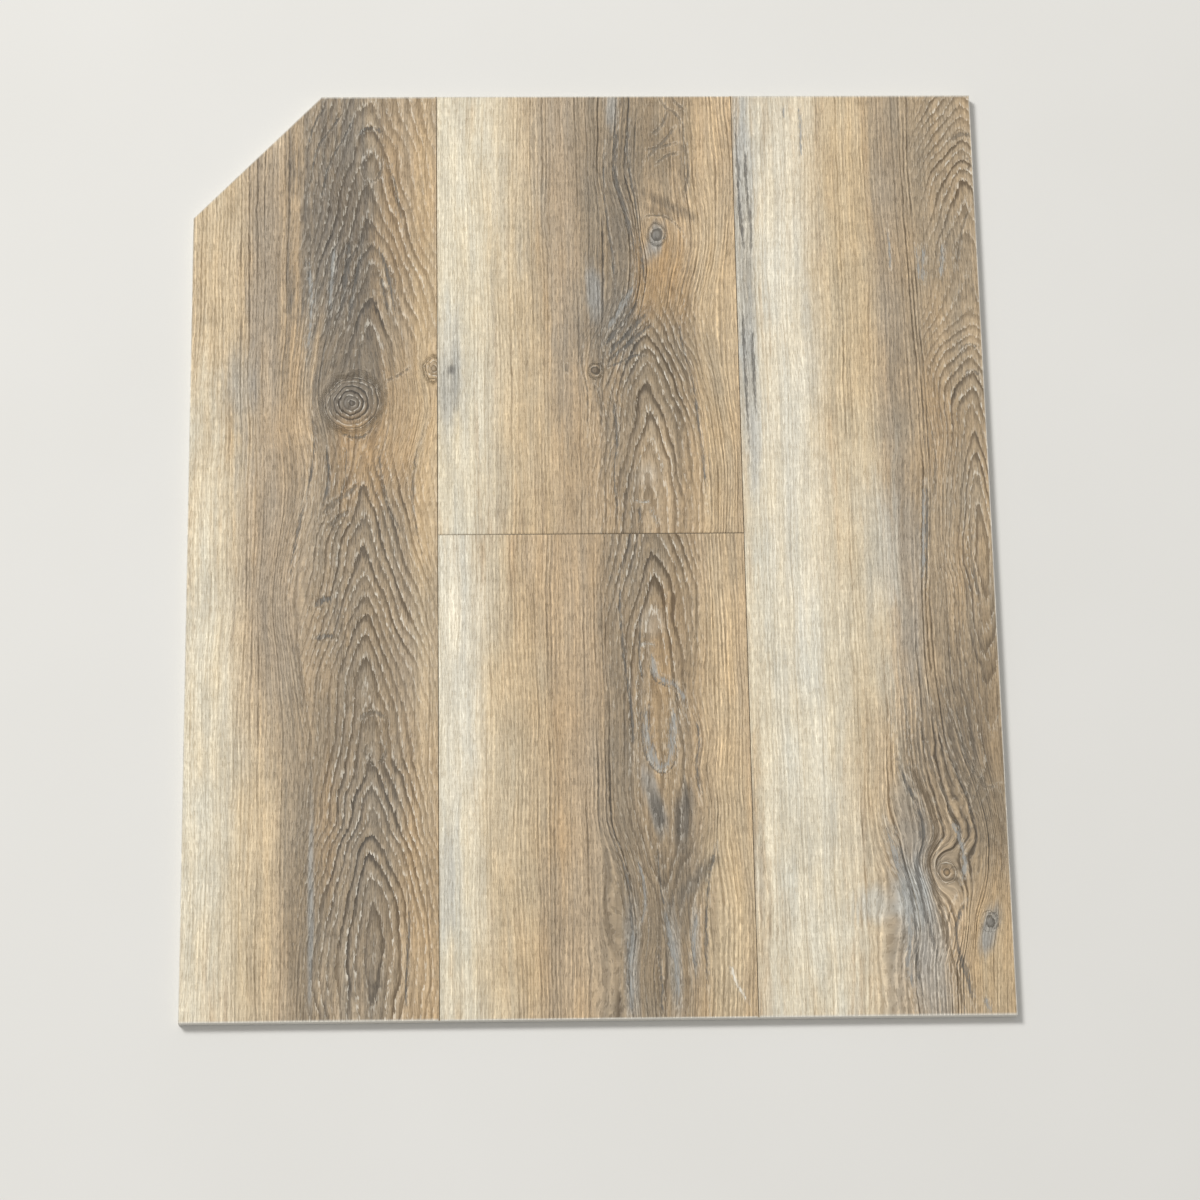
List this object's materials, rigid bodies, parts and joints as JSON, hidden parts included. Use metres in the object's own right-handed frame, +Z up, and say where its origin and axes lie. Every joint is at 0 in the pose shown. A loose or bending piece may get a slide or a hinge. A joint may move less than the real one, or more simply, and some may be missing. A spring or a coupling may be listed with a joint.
{
  "type": "vinyl floor plank panel",
  "caption": "Flat panel of click-lock vinyl floor planks with a wood-look face, locked side to side and end to end, with a sawn-off corner.",
  "frame": {"origin": "middle of the panel's box, on its underside", "axes": "+X across the planks to the right of the wear face, +Y along the planks towards the end with the sawn-off corner, +Z up out of the wear face"},
  "size_m": [0.481, 0.584, 0.006],
  "materials": {
    "vinyl": "matte"
  },
  "bodies": {
    "root": {"left_plank": "vinyl", "upper_middle_plank": "vinyl", "lower_middle_plank": "vinyl", "right_plank": "vinyl"}
  },
  "joints": []
}
